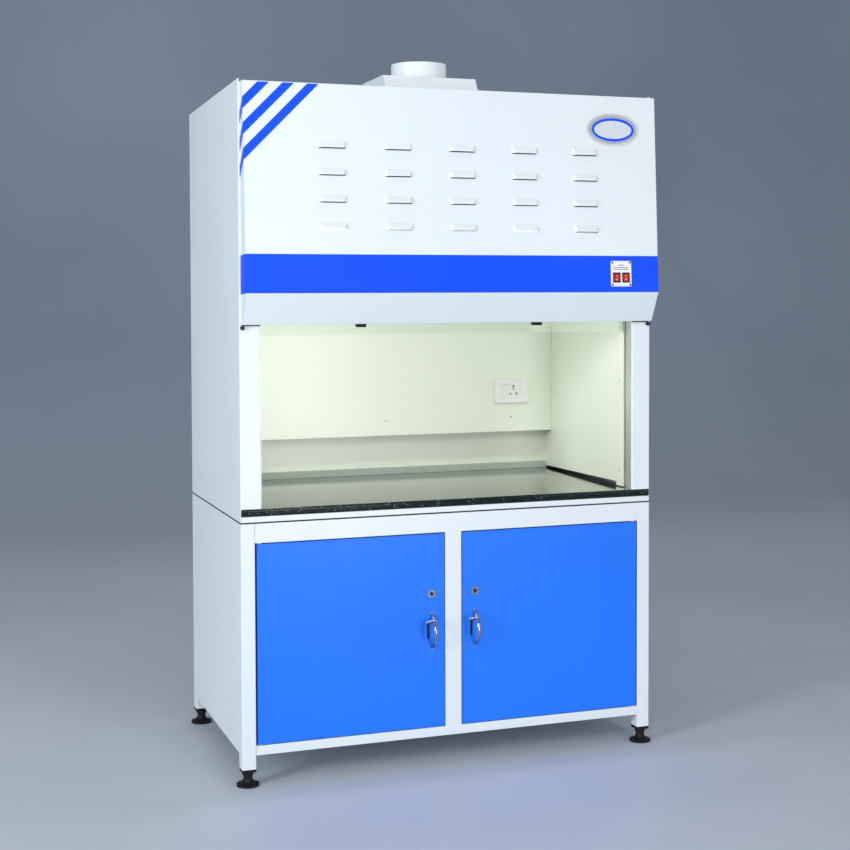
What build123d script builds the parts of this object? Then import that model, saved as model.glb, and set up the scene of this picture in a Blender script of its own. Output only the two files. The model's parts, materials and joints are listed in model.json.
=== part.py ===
from build123d import *
import math
import os

# A bench-height fume exhaust hood on a two-door base cabinet.
# Millimetres. While it is built, x runs across from the middle, y runs to the rear from the
# front of the legs, and z is up from the floor. The finished pieces are moved along y only,
# so that the origin lies on the floor under the middle of the whole outline.

os.makedirs("parts", exist_ok=True)

# Overall
width = 1200
depth = 666
base_top = 698
touch_gap = 0.3

# Legs and feet
leg = 38
leg_wall = 1.6
leg_corner = 2.5
foot_height = 46
foot_radius = 30
foot_rim = 6
foot_neck = 12
foot_nut = 15
foot_nut_height = 8
foot_flare_height = 14
foot_flare_sweep = 5
stud_radius = 5
stud_clearance = 0.05
stud_above_insert = 15
insert_head = 8
insert_depth = 24
insert_clearance = 0.1

# Base frame
rail = 25
rail_wall = 1.5
rail_bottom = 83
apron_height = 51.5
post_centre = -5
post_width = 47
post_depth = 20
panel_sheet = 1.2

# Doors
door_thick = 20
door_sheet = 1.2
door_flange = 15
door_bottom_gap = 2.5
door_top_gap = 3
door_post_gap = 2.5
door_leg_gap = 5
hinge_inset = 8
pin_radius = 3
pin_clearance = 0.05
pin_collar = 7
pin_in_frame = 12
pin_in_door = 20

# Locks, handles and keys
lock_spacing = 127.6
lock_height = 478.5
lock_ring = 11
lock_ring_thick = 2
lock_barrel = 9
lock_plug = 6
lock_clearance = 0.05
cam_thick = 2
cam_width = 16
cam_length = 52
cam_gap = 0.8
handle_spacing = 126
handle_bottom = 329
handle_length = 94
handle_bow = 36
handle_half_width = 4.5
handle_half_thick = 3
handle_pad = 1.5
handle_pad_radius = 5.5
lock_slot = 2
lock_slot_deep = 3
key_ring_radius = 14
key_wire = 1.3
key_tilt = 22
key_head = 7
key_hole = 2.6
key_thick = 2
key_blade = 3.5
key_length = 46
key_slack = 0.15
key_turn = 25
key_on_bow = 0.82

# Worktop
gasket = 4
gasket_width = 30
top_frame_height = 14.5
top_frame_width = 40
top_frame_wall = 1.5
slab_thick = 20
slab_nose = 6
upstand_height = 20
upstand_thick = 20
floor_corner_gap = 0.5

# Hood shell
sheet = 1.5
bend = 3
post_face = 56
post_return = 34
rear_flange = 20
hood_front_top = 1862
hood_fall = 22
roof_drop = 8.5
roof_setback = 3
roof_flange = 22

# Fascia
fascia_inset = 5
fascia_top_depth = 32
fascia_low_depth = 61
fascia_low = 1303
fascia_lip_depth = 20
fascia_lip = 1221.5
fascia_return = 12
fold_slack = 0.5
fascia_edge = 2
louvre_width = 75
louvre_height = 19
louvre_proud = 7
louvre_pitch_x = 183
louvre_pitch_z = 71.2
louvre_columns = 5
louvre_rows = 4
louvre_offset = 8
louvre_low = 1481.3
louvre_taper = 8
louvre_flat = 0.3
louvre_wall = 1.2
louvre_mouth_drop = 2
film = 0.3
band_height = 102.6
bar_width = 31
bar_pitch = 66.5
bar_first = 42
bar_count = 3
film_edge_gap = 0.7
film_top_gap = 2.2

# Plates and switches on the fascia
oval_width = 160
oval_height = 91
oval_thick = 1
oval_rim = 6
oval_rim_thick = 1.8
oval_from_side = 138
oval_z = 1759
plate_from_side = 122
plate_z = 1355.6
plate_width = 63.5
plate_height = 71.5
plate_thick = 1.5
plate_corner = 4
screw_radius = 2.8
screw_head = 1.2
screw_inset = 4.5
bezel_pitch = 28.6
bezel_width = 22.5
bezel_height = 28
bezel_drop = 11
bezel_proud = 1.7
bezel_wall = 3.2
bezel_deep = 12
bezel_cut_reach = 10
switch_tilt = 7
switch_gap = 0.4
switch_end_gap = 0.9
switch_deep = 5
switch_proud = 3.2
switch_dish = 0.8
trunnion = 1.2
trunnion_length = 1
trunnion_clearance = 0.05
trunnion_end_gap = 0.3
bumper_radius = 5.5
bumper_overhang = 3
bumper_proud = 9
bumper_strip = 3
bumper_drop = 8.5

# Duct
duct_radius = 80
duct_wall = 1.2
duct_from_rear = 377
plinth_width = 279
plinth_top = 1917
plinth_length = 188
plinth_slope = 43
spigot_height = 46
collar_below = 20
collar_lap = 8
roof_hole_gap = 6
plinth_foot = 80

# Work chamber
liner_sheet = 3
liner_set = 1
track_depth = 17
track_width = 14
track_wall = 1.5
track_below_top = 122
track_cover = 1.2
track_cover_top = 1230
baffle_from_rear = 111
baffle_low = 862
baffle_knee = 1350
baffle_knee_bend = 12
baffle_lip_y = 190
baffle_lip_z = 1480
rear_liner_from_rear = 51
ceiling_z = 1500
liner_gap_front = 3
liner_gap_step = 14
liner_gap_rear = 7
liner_step = 46
lamp_width = 600
lamp_depth = 100
lamp_front = 70
lamp_height = 55
lamp_margin = 10
lens_thick = 3

# Socket outlet on the baffle
socket_from_side = 200
socket_z = 991.6
socket_width = 113
socket_height = 80
socket_thick = 8
socket_corner = 4
socket_bevel = 2
socket_recess_width = 68
socket_recess_height = 61
socket_recess = 2
socket_floor = 2
key_u = -22.3
key_wide = 18.5
key_high = 41
key_floor = 0.8
key_sink = 1.5
key_deep = 2
key_proud = 3
key_tip = 4
pins_u = 8.5
earth_v = 13.5
earth_radius = 3.6
small_v = 4.5
small_radius = 2.6
pin_v = -10
pin_spread = 10.5
pin_slot = 9
pin_slot_width = 4.5
pin_turn = 40

# Round heads of the screws in the liners and the baffle
fixing_radius = 3
fixing_head = 1.5
fixing_rear = 50
fixing_front = 78
fixing_rear_z = [803, 981, 1159, 1337]
fixing_front_z = [782, 1045, 1308]
fixing_pitch = 420
fixing_offset = -18
baffle_fixing_z = [908, 1290]

# Sash
glass_y = 43
glass_thick = 5
glass_grip = 4
glass_low = 1191.5
glass_height = 523
stile_width = 15
stile_thick = 7
stile_hook = 3
glide_height = 40
pull_x = 259
pull_width = 24
pull_rise = 20
pull_height = 24
pull_reach = 21
pull_lip = 9
pull_plate = 4
pull_back = 2

# Counterbalance
weight_thick = 32
weight_depth = 58
weight_height = 268
weight_low = 770
weight_gap = 0.5
guide_set = 2
guide_foot_gap = 10
guide_wall = 2
guide_foot = 8
cable_inset = 3
cable_radius = 1.5
pulley_width = 12
pulley_lip = 5
pulley_rim = 2
pulley_below_top = 72
axle_radius = 4
axle_clearance = 0.05
head_rail_below_top = 46
head_rail_height = 32
bracket_width = 24
bracket_plate = 2
bracket_gap = 0.7

# Exhaust fan
fan_motor = 30
fan_motor_low = 1560
fan_motor_height = 80
fan_hub = 26
fan_hub_height = 34
fan_blade_tip = 74
fan_blade_chord = 40
fan_blade_thick = 2
fan_blades = 5
fan_pitch = 35
fan_shaft = 4
fan_shaft_bore = 30
fan_shaft_end_gap = 1
fan_hub_gap = 4
fan_blade_root = 4
fan_flange = 20
fan_flange_thick = 2
fan_arms = 3
fan_arm_thick = 3
fan_arm_height = 24
fan_arm_lap = 1

# Derived positions
half = width / 2
leg_inner = half - leg
rail_top = rail_bottom + rail
apron_bottom = base_top - apron_height
gasket_top = base_top + gasket
slab_bottom = gasket_top + top_frame_height
slab_top = slab_bottom + slab_thick
post_left = post_centre - post_width / 2
post_right = post_centre + post_width / 2
door_bottom = rail_top + door_bottom_gap
door_top = apron_bottom - door_top_gap
door_outer = leg_inner - door_leg_gap
post_inner = half - post_face
fascia_top = hood_front_top - roof_drop
fascia_half = half - fascia_inset
glass_half = post_inner + glass_grip
track_front = glass_y - track_depth / 2
track_back = glass_y + track_depth / 2
cable_x = glass_half - glass_grip - cable_inset
weight_outer = half - sheet - guide_wall - weight_gap
weight_x = weight_outer - weight_thick / 2
pulley_x = (cable_x + weight_x) / 2
cable_turn = (weight_x - cable_x) / 2
oval_x = half - oval_from_side
plate_x = half - plate_from_side
socket_x = half - socket_from_side
duct_y = depth - duct_from_rear
baffle_y = depth - baffle_from_rear
rear_liner_y = depth - rear_liner_from_rear
liner_half = post_inner - liner_set
track_top = hood_front_top - track_below_top
pulley_z = hood_front_top - pulley_below_top
head_rail_low = hood_front_top - head_rail_below_top
head_rail_high = head_rail_low + head_rail_height
pull_z = glass_low + pull_rise
collar_radius = duct_radius - duct_wall
duct_bore = collar_radius - duct_wall
through = depth

parts = {}


def block(x0, x1, y0, y1, z0, z1):
    """A box between two corners."""
    return Pos((x0 + x1) / 2, (y0 + y1) / 2, (z0 + z1) / 2) * Box(x1 - x0, y1 - y0, z1 - z0)


def tube(x0, x1, y0, y1, z0, z1, wall, along):
    """A rectangular tube that is open at both ends along one axis."""
    grow = {"x": (1, -wall, -wall), "y": (-wall, 1, -wall), "z": (-wall, -wall, 1)}[along]
    inner = block(x0 - grow[0], x1 + grow[0], y0 - grow[1], y1 + grow[1], z0 - grow[2], z1 + grow[2])
    return block(x0, x1, y0, y1, z0, z1) - inner


def rod(radius, start, direction, length):
    """A round bar that grows from a point along a direction."""
    plane = Plane(origin=start, z_dir=direction)
    return plane * Cylinder(radius, length, align=(Align.CENTER, Align.CENTER, Align.MIN))


def ring(outer, inner, x, y, z, height):
    """A flat ring or short tube with an upright axis."""
    return rod(outer, (x, y, z), (0, 0, 1), height) - rod(inner, (x, y, z - 1), (0, 0, 1), height + 2)


def prism_x(points, x0, x1):
    """An outline in y and z, drawn out across from x0 to x1."""
    face = Plane.YZ.offset(x0) * Polygon(*points, align=None)
    return extrude(face, amount=x1 - x0, dir=(1, 0, 0))


def folded_x(points, thickness, side, x0, x1, radius=bend):
    """A sheet folded along a line in y and z, drawn out across."""
    line = FilletPolyline(*points, radius=radius)
    section = make_face(offset(line, amount=thickness, side=side, closed=True))
    return extrude(Plane.YZ.offset(x0) * section, amount=x1 - x0, dir=(1, 0, 0))


def both_sides(shape):
    """The right-hand piece and its mirror image on the left."""
    return [shape, mirror(shape, about=Plane.YZ)]


def group(*shapes):
    """Several separate solids kept together."""
    solids = []
    for shape in shapes:
        solids.extend(shape.solids())
    return Compound(solids)


def roof_z(y):
    """Height of the roof's upper face, which falls to the rear."""
    return fascia_top - hood_fall * y / depth


def fascia_y(z):
    """The fascia's large front face at a height."""
    share = (fascia_top - z) / (fascia_top - fascia_low)
    return -(fascia_top_depth + (fascia_low_depth - fascia_top_depth) * share)


def on_fascia(x, z, proud=0):
    """A plane on the fascia's front face, with its normal outwards."""
    run = fascia_low_depth - fascia_top_depth
    rise = fascia_top - fascia_low
    plane = Plane(origin=(x, fascia_y(z), z), x_dir=(1, 0, 0), z_dir=(0, -rise, run))
    return plane.offset(proud)


# Base frame

leg_places = [(sx * (half - leg / 2), y) for sx in (-1, 1) for y in (leg / 2, depth - leg / 2)]
leg_names = ["front_left", "rear_left", "front_right", "rear_right"]


def make_leg(x, y):
    outer = extrude(Pos(x, y, foot_height) * RectangleRounded(leg, leg, leg_corner),
                    amount=base_top - foot_height)
    inside = leg - 2 * leg_wall
    inner = block(x - inside / 2, x + inside / 2, y - inside / 2, y + inside / 2,
                  foot_height - 1, base_top + 1)
    return outer - inner


def make_insert(x, y):
    plug = (leg - 2 * leg_wall) / 2 - insert_clearance
    head = extrude(Pos(x, y, foot_height - insert_head) * RectangleRounded(leg, leg, leg_corner),
                   amount=insert_head)
    body = block(x - plug, x + plug, y - plug, y + plug, foot_height, foot_height + insert_depth)
    bore = rod(stud_radius + stud_clearance, (x, y, 0), (0, 0, 1), foot_height + insert_depth + 1)
    return head + body - bore


def make_foot(x, y):
    nut_top = foot_height - insert_head - touch_gap
    nut_low = nut_top - foot_nut_height
    flare_top = foot_rim + foot_flare_height
    stud_top = foot_height + insert_depth + stud_above_insert
    rim_top = (foot_radius, foot_rim)
    outline = [
        Line((0, 0), (foot_radius, 0)),
        Line((foot_radius, 0), rim_top),
        ThreePointArc(rim_top, (foot_neck + foot_flare_sweep, foot_rim + foot_flare_height / 3),
                      (foot_neck, flare_top)),
        Line((foot_neck, flare_top), (foot_neck, nut_low)),
        Line((foot_neck, nut_low), (foot_nut, nut_low)),
        Line((foot_nut, nut_low), (foot_nut, nut_top)),
        Line((foot_nut, nut_top), (stud_radius, nut_top)),
        Line((stud_radius, nut_top), (stud_radius, stud_top)),
        Line((stud_radius, stud_top), (0, stud_top)),
        Line((0, stud_top), (0, 0)),
    ]
    return Pos(x, y, 0) * revolve(Plane.XZ * make_face(Wire(outline)), axis=Axis.Z)


parts["legs"] = group(*[make_leg(x, y) for x, y in leg_places])
parts["leg_inserts"] = group(*[make_insert(x, y) for x, y in leg_places])
for name, (x, y) in zip(leg_names, leg_places):
    parts["foot_" + name] = make_foot(x, y)

rail_outer = half - panel_sheet
rail_rear = depth - panel_sheet
upper_rail = base_top - rail
side_rail = [
    tube(rail_outer - rail, rail_outer, leg, depth - leg, rail_bottom, rail_top, rail_wall, "y"),
    tube(rail_outer - rail, rail_outer, leg, depth - leg, upper_rail, base_top, rail_wall, "y"),
]
front_rail = tube(-leg_inner, leg_inner, 0, rail, rail_bottom, rail_top, rail_wall, "x")
rear_rails = [
    tube(-leg_inner, leg_inner, rail_rear - rail, rail_rear, rail_bottom, rail_top, rail_wall, "x"),
    tube(-leg_inner, leg_inner, rail_rear - rail, rail_rear, upper_rail, base_top, rail_wall, "x"),
]
apron = tube(-leg_inner, leg_inner, 0, rail, apron_bottom, base_top, rail_wall, "x")

hinge_x = door_outer - hinge_inset
for side in (-1, 1):
    hole = rod(pin_radius + pin_clearance, (side * hinge_x, hinge_inset, rail_top - pin_in_frame),
               (0, 0, 1), pin_in_frame + 1)
    front_rail -= hole
    hole = rod(pin_radius + pin_clearance, (side * hinge_x, hinge_inset, apron_bottom - 1),
               (0, 0, 1), pin_in_frame + 1)
    apron -= hole

parts["base_rails"] = group(front_rail, *rear_rails, *both_sides(side_rail[0]),
                            *both_sides(side_rail[1]))
parts["apron"] = apron
parts["centre_post"] = tube(post_left, post_right, 0, post_depth, rail_top, apron_bottom,
                            rail_wall, "z")

side_skin = block(rail_outer, half, leg, depth - leg, rail_bottom, base_top)
parts["base_side_panels"] = group(*both_sides(side_skin))
parts["base_back_panel"] = block(-leg_inner, leg_inner, rail_rear, depth, rail_bottom, base_top)

floor_half = rail_outer - rail / 2
floor_sheet = block(-floor_half, floor_half, post_depth + 1, rail_rear - rail / 2,
                    rail_top, rail_top + panel_sheet)
for x, y in leg_places:
    reach = leg / 2 + floor_corner_gap
    floor_sheet -= block(x - reach, x + reach, y - reach, y + reach, rail_top - 1,
                         rail_top + 2 * panel_sheet)
parts["cabinet_floor"] = floor_sheet


def make_pin(x, collar_low, collar_high, low, high):
    shaft = rod(pin_radius, (x, hinge_inset, low), (0, 0, 1), high - low)
    return shaft + rod(pin_collar, (x, hinge_inset, collar_low), (0, 0, 1), collar_high - collar_low)


pins = []
for side in (-1, 1):
    pins.append(make_pin(side * hinge_x, rail_top, door_bottom - touch_gap,
                         rail_top - pin_in_frame, door_bottom + pin_in_door))
    pins.append(make_pin(side * hinge_x, door_top + touch_gap, apron_bottom,
                         door_top - pin_in_door, apron_bottom + pin_in_frame))
parts["hinge_pins"] = group(*pins)


# Doors with their locks, handles and keys

lock_x = [post_centre - lock_spacing / 2, post_centre + lock_spacing / 2]
handle_x = [post_centre - handle_spacing / 2, post_centre + handle_spacing / 2]


def make_door(x0, x1, hinge, lock):
    t = door_sheet
    pan = block(x0, x1, 0, door_thick, door_bottom, door_top)
    pan -= block(x0 + t, x1 - t, t, door_thick - t, door_bottom + t, door_top - t)
    rim = door_flange
    pan -= block(x0 + rim, x1 - rim, t, door_thick + 1, door_bottom + rim, door_top - rim)
    pan -= rod(pin_radius + pin_clearance, (hinge, hinge_inset, door_bottom - 1), (0, 0, 1), t + 2)
    pan -= rod(pin_radius + pin_clearance, (hinge, hinge_inset, door_top - t - 1), (0, 0, 1), t + 2)
    pan -= rod(lock_barrel + lock_clearance, (lock, -1, lock_height), (0, 1, 0), t + 2)
    return pan


def make_lock_barrel(x):
    barrel = rod(lock_ring, (x, -lock_ring_thick, lock_height), (0, 1, 0), lock_ring_thick)
    barrel += rod(lock_barrel, (x, 0, lock_height), (0, 1, 0), door_thick)
    return barrel - rod(lock_plug + lock_clearance, (x, -lock_ring_thick - 1, lock_height),
                        (0, 1, 0), door_thick + lock_ring_thick + 2)


def make_lock_cam(x):
    front = -lock_ring_thick + touch_gap
    cam_front = door_thick + cam_gap
    plug = rod(lock_plug, (x, front, lock_height), (0, 1, 0), cam_front - front)
    plug -= block(x - lock_plug / 2, x + lock_plug / 2, front - 1, front + lock_slot_deep,
                  lock_height - lock_slot / 2, lock_height + lock_slot / 2)
    arm = block(x - cam_width / 2, x + cam_width / 2, cam_front, cam_front + cam_thick,
                lock_height - cam_length, lock_height)
    return plug + arm + rod(cam_width / 2, (x, cam_front, lock_height), (0, 1, 0), cam_thick)


def handle_curve(share):
    """How far out and how high the bow's middle line is, from 0 at its foot to 1 at its top."""
    return -4 * handle_bow * share * (1 - share), handle_bottom + handle_length * share


def make_handle(x):
    """A slim arched bow on two small pads."""
    foot, top = handle_curve(0), handle_curve(1)
    reach = handle_bow * 4 / 3
    line = Bezier(foot, (-reach, handle_bottom + handle_length / 3),
                  (-reach, handle_bottom + 2 * handle_length / 3), top)
    path = Plane.YZ.offset(x) * line
    start = Plane(origin=path @ 0, x_dir=(1, 0, 0), z_dir=path % 0)
    bow = sweep(start * Ellipse(handle_half_width, handle_half_thick), path=path)
    bow -= block(x - handle_bow, x + handle_bow, 0, handle_bow, handle_bottom - handle_bow,
                 handle_bottom + handle_length + handle_bow)
    for z in (foot[1], top[1]):
        bow += rod(handle_pad_radius, (x, -handle_pad, z), (0, 1, 0), handle_pad)
    return bow


def make_keys(x):
    """A wire ring over the bow's upper part, with a key hanging from it."""
    turn = math.radians(key_tilt)
    bar_y, bar_z = handle_curve(key_on_bow)
    ring_x = x + handle_half_width + touch_gap - key_ring_radius + key_wire
    tilted = Plane(origin=(ring_x, bar_y, bar_z), x_dir=(1, 0, 0),
                   z_dir=(0, math.sin(turn), math.cos(turn)))
    wire = tilted * Torus(key_ring_radius, key_wire)
    swing = math.radians(key_turn)
    key_at = Pos(ring_x - key_ring_radius * math.cos(swing),
                 bar_y - key_ring_radius * math.sin(swing) * math.cos(turn),
                 bar_z + key_ring_radius * math.sin(swing) * math.sin(turn) - key_hole + key_wire
                 + key_slack)
    head_z = key_thick + key_hole - key_head
    key = rod(key_head, (0, -key_thick / 2, head_z), (0, 1, 0), key_thick)
    key += block(-key_blade, key_blade, -key_thick / 2, key_thick / 2, -key_length, head_z)
    key -= rod(key_hole, (0, -key_thick, 0), (0, 1, 0), 2 * key_thick)
    key = key_at * Rot(0, 0, key_turn) * key
    return group(wire, key)


door_spans = [(-door_outer, post_left - door_post_gap), (post_right + door_post_gap, door_outer)]
for index, name in enumerate(("left", "right")):
    x0, x1 = door_spans[index]
    hinge = (-hinge_x, hinge_x)[index]
    parts["door_" + name] = make_door(x0, x1, hinge, lock_x[index])
    parts["lock_barrel_" + name] = make_lock_barrel(lock_x[index])
    parts["lock_cam_" + name] = make_lock_cam(lock_x[index])
    parts["handle_" + name] = make_handle(handle_x[index])
    parts["keys_" + name] = make_keys(handle_x[index])


# Worktop

def rectangle_ring(inset, z0, z1):
    """A band that follows the plan outline of the whole cabinet."""
    return (block(-half, half, 0, depth, z0, z1)
            - block(-half + inset, half - inset, inset, depth - inset, z0 - 1, z1 + 1))


def make_top_frame():
    """A folded channel ring that carries the slab, between the side panels' skins."""
    side = half - sheet - touch_gap
    rear = depth - sheet - touch_gap
    w = top_frame_width
    t = top_frame_wall
    outer = block(-side, side, 0, rear, gasket_top, slab_bottom)
    outer -= block(-side + w, side - w, w, rear - w, gasket_top - 1, slab_bottom + 1)
    hollow = block(-side + t, side - t, t, rear - t, gasket_top - 1, slab_bottom - t)
    hollow -= block(-side + w - t, side - w + t, w - t, rear - w + t, gasket_top - 2, slab_bottom)
    return outer - hollow


def make_worktop():
    """A slab with a rounded nose, and an upstand of the same stone along the rear."""
    side = half - sheet - touch_gap
    slab = block(-side, side, 0, depth - sheet - touch_gap, slab_bottom, slab_top)
    nose = slab.edges().filter_by(Axis.X).filter_by(lambda e: e.center().Y < 1)
    slab = fillet(nose, slab_nose)
    return slab + block(-liner_half, liner_half, rear_liner_y - upstand_thick, rear_liner_y,
                        slab_top, slab_top + upstand_height)


parts["seam_gasket"] = rectangle_ring(gasket_width, base_top, gasket_top)
parts["worktop_frame"] = make_top_frame()
parts["worktop"] = make_worktop()


# Hood shell

def make_side_panel():
    line = FilletPolyline((post_inner, post_return), (post_inner, 0), (half, 0), (half, depth),
                          (half - rear_flange, depth), radius=bend)
    section = make_face(offset(line, amount=sheet, side=Side.LEFT, closed=True))
    panel = extrude(Pos(0, 0, gasket_top) * section, amount=hood_front_top - gasket_top)
    panel -= block(post_inner - 1, half - sheet, -1, depth + 1, gasket_top - 1, slab_top)
    over = hood_front_top + hood_fall
    above = prism_x([(-1, hood_front_top), (depth + 1, hood_front_top - hood_fall),
                     (depth + 1, over), (-1, over)], post_inner - 1, half + 1)
    notch = block(post_inner - 1, post_inner + 2 * bend, bend, post_return + 1,
                  fascia_top - roof_flange - 1, hood_front_top + 1)
    face_top = block(post_inner - 1, half - bend, -1, bend, fascia_top, hood_front_top + 1)
    return panel - above - notch - face_top


right_panel, left_panel = both_sides(make_side_panel())
parts["side_panel_right"] = right_panel
parts["side_panel_left"] = left_panel

shell_half = half - sheet - touch_gap
back_y = depth - sheet
roof_rear = back_y - sheet
duct_hole = duct_radius + roof_hole_gap
roof = folded_x([(roof_setback, roof_z(roof_setback) - roof_flange),
                 (roof_setback, roof_z(roof_setback)), (roof_rear, roof_z(roof_rear)),
                 (roof_rear, roof_z(roof_rear) - roof_flange)],
                sheet, Side.RIGHT, -shell_half, shell_half)
parts["roof"] = roof - rod(duct_hole, (0, duct_y, fascia_top - through / 2), (0, 0, 1), through)
back_half = shell_half - bend
parts["hood_back_panel"] = block(-back_half, back_half, roof_rear, back_y, slab_top,
                                 roof_z(roof_rear) - bend)


# Duct plinth and spigot

def plinth_body(inset):
    """The plinth's outline, drawn in by a wall, with its foot below the roof."""
    y0 = duct_y - plinth_length / 2
    y1 = duct_y + plinth_length / 2
    top = plinth_top - inset
    lean = plinth_slope / (plinth_top - roof_z(duct_y))
    low = fascia_top - plinth_foot
    drop = top - low
    across = inset * math.hypot(1, lean)
    shrink = inset * lean
    outline = [(y0 + across - shrink - lean * drop, low), (y0 + across - shrink, top),
               (y1 - across + shrink, top), (y1 - across + shrink + lean * drop, low)]
    return prism_x(outline, -plinth_width / 2 + inset, plinth_width / 2 - inset)


below_roof = prism_x([(-depth, roof_z(-depth)), (2 * depth, roof_z(2 * depth)),
                      (2 * depth, 0), (-depth, 0)], -half, half)
plinth = plinth_body(0) - plinth_body(sheet) - below_roof
plinth -= rod(collar_radius + touch_gap, (0, duct_y, plinth_top - collar_below), (0, 0, 1),
              2 * collar_below)
parts["duct_plinth"] = plinth

collar_low = plinth_top - collar_below
spigot = ring(duct_radius, collar_radius, 0, duct_y, plinth_top, spigot_height)
spigot += ring(collar_radius, duct_bore, 0, duct_y, collar_low, collar_below + collar_lap)
parts["duct_spigot"] = spigot


# Fascia, a folded sheet with pressed louvres

fascia_outline = [(0, fascia_top), (-fascia_top_depth, fascia_top), (-fascia_low_depth, fascia_low),
                  (-fascia_lip_depth, fascia_lip), (0, fascia_lip)]
fascia_block = prism_x(fascia_outline, -fascia_half, fascia_half)
front_edges = fascia_block.edges().filter_by(Axis.X).filter_by(lambda e: e.center().Y < -1)
fascia_block = fillet(front_edges, fascia_edge)
fascia_rear = fascia_block.faces().sort_by(Axis.Y)[-1]
fascia = offset(fascia_block, amount=-sheet, openings=[fascia_rear])
fascia -= block(-fascia_half - 1, fascia_half + 1, -fascia_lip_depth + fascia_return, 1,
                fascia_lip - 1, fascia_lip + sheet + fold_slack)


def louvre_outline(inset, drop, sink):
    """The hood's side view along the face, from its open foot to its top."""
    top = louvre_height / 2 - inset
    foot = -louvre_height / 2 - drop
    proud = louvre_proud - inset
    return [(foot, -sink), (foot, proud), (foot + drop + louvre_height * louvre_flat, proud),
            (top, 0), (top, -sink)]


def louvre_solid(inset, drop, sink):
    """A hood drawn across its width, with both ends tapered to the face."""
    reach = louvre_width / 2 - inset
    body = prism_x(louvre_outline(inset, drop, sink), -reach, reach)
    for turn in (-1, 1):
        cut = Polygon((turn * reach, 0), (turn * reach, louvre_proud + 1),
                      (turn * (reach - louvre_taper), louvre_proud + 1), align=None)
        slab_cut = extrude(Plane.XZ.offset(-louvre_height) * cut, amount=2 * louvre_height,
                           dir=(0, -1, 0))
        body -= slab_cut
    return body


louvre_places = [(louvre_offset + (c - (louvre_columns - 1) / 2) * louvre_pitch_x,
                  louvre_low + r * louvre_pitch_z)
                 for c in range(louvre_columns) for r in range(louvre_rows)]
hood_shape = louvre_solid(0, 0, sheet / 2)
hood_space = louvre_solid(louvre_wall, louvre_mouth_drop, 2 * sheet)
fascia += [on_fascia(x, z).location * hood_shape for x, z in louvre_places]
fascia -= [on_fascia(x, z).location * hood_space for x, z in louvre_places]


# Switch plate, bezels and rockers

bezel_z = plate_z - bezel_drop
bezel_x = [plate_x - bezel_pitch / 2, plate_x + bezel_pitch / 2]
plate_top = film + plate_thick
pocket_width = bezel_width - 2 * bezel_wall
pocket_height = bezel_height - 2 * bezel_wall
neck_width = bezel_width - bezel_wall
neck_height = bezel_height - bezel_wall
switch_axis = film
switch_half = pocket_height / 2 - switch_end_gap


def on_plane(plane, shape):
    return plane.location * shape


def upright_box(wide, high, low, top):
    return Pos(0, 0, (low + top) / 2) * Box(wide, high, top - low)


def make_rocker(plane, wide, high, deep, proud, tilt):
    """A rocker on two short trunnions, tipped to its off side."""
    outline = [(-high, -deep), (-high, proud), (0, proud - switch_dish), (high, proud), (high, -deep)]
    key = prism_x(outline, -wide / 2, wide / 2)
    key += rod(trunnion, (-wide / 2 - trunnion_length, 0, 0), (1, 0, 0), wide + 2 * trunnion_length)
    return on_plane(plane, Rot(tilt, 0, 0) * key)


def trunnion_hole(wide):
    reach = wide / 2 + trunnion_length + trunnion_end_gap
    return rod(trunnion + trunnion_clearance, (-reach, 0, 0), (1, 0, 0), 2 * reach)


plate_plane = on_fascia(plate_x, plate_z)
switch_plate = on_plane(plate_plane.offset(film), extrude(
    RectangleRounded(plate_width, plate_height, plate_corner), amount=plate_thick))
neck_hole = upright_box(neck_width + 2 * touch_gap, neck_height + 2 * touch_gap, -bezel_deep,
                        bezel_cut_reach)
bezels = []
for index, name in enumerate(("light", "fan")):
    plane = on_fascia(bezel_x[index], bezel_z)
    switch_plate -= on_plane(plane, neck_hole)
    fascia -= on_plane(plane, neck_hole)
    frame = upright_box(bezel_width, bezel_height, plate_top, plate_top + bezel_proud)
    frame += upright_box(neck_width, neck_height, -bezel_deep, plate_top)
    frame -= upright_box(pocket_width, pocket_height, -bezel_deep + bezel_wall, bezel_cut_reach)
    frame -= Pos(0, 0, switch_axis) * trunnion_hole(pocket_width - 2 * switch_gap)
    bezels.append(on_plane(plane, frame))
    parts["switch_" + name] = make_rocker(plane.offset(switch_axis), pocket_width - 2 * switch_gap,
                                          switch_half, switch_deep, switch_proud, switch_tilt)
parts["switch_bezels"] = group(*bezels)
parts["fascia"] = fascia
parts["switch_plate"] = switch_plate

oval_plane = on_fascia(oval_x, oval_z)
oval = extrude(Ellipse(oval_width / 2, oval_height / 2), amount=oval_thick)
oval += extrude(Ellipse(oval_width / 2, oval_height / 2)
                - Ellipse(oval_width / 2 - oval_rim, oval_height / 2 - oval_rim),
                amount=oval_rim_thick)
parts["oval_plate"] = on_plane(oval_plane, oval)


# Blue film: the band round the foot of the face and the bars over the left corner

def film_on_face(x0, x1, low, high):
    """A strip of the film over the face between two heights."""
    return prism_x([(fascia_y(low), low), (fascia_y(low) - film, low),
                    (fascia_y(high) - film, high), (fascia_y(high), high)], x0, x1)


def film_wrap(low, high, left, right):
    """The film between two heights of the face, turned round an end where it is asked for."""
    x0 = -fascia_half - (film if left else 0)
    x1 = fascia_half + (film if right else 0)
    skin = film_on_face(x0, x1, low, high)
    lean = (fascia_low_depth - fascia_top_depth) / (fascia_top - fascia_low)
    cheek = [(fascia_y(low) - film, low), (fascia_y(high) - film, high),
             (0, high + lean * fascia_y(high)), (0, low + lean * fascia_y(low))]
    if left:
        skin += prism_x(cheek, x0, -fascia_half)
    if right:
        skin += prism_x(cheek, fascia_half, x1)
    return skin


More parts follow.
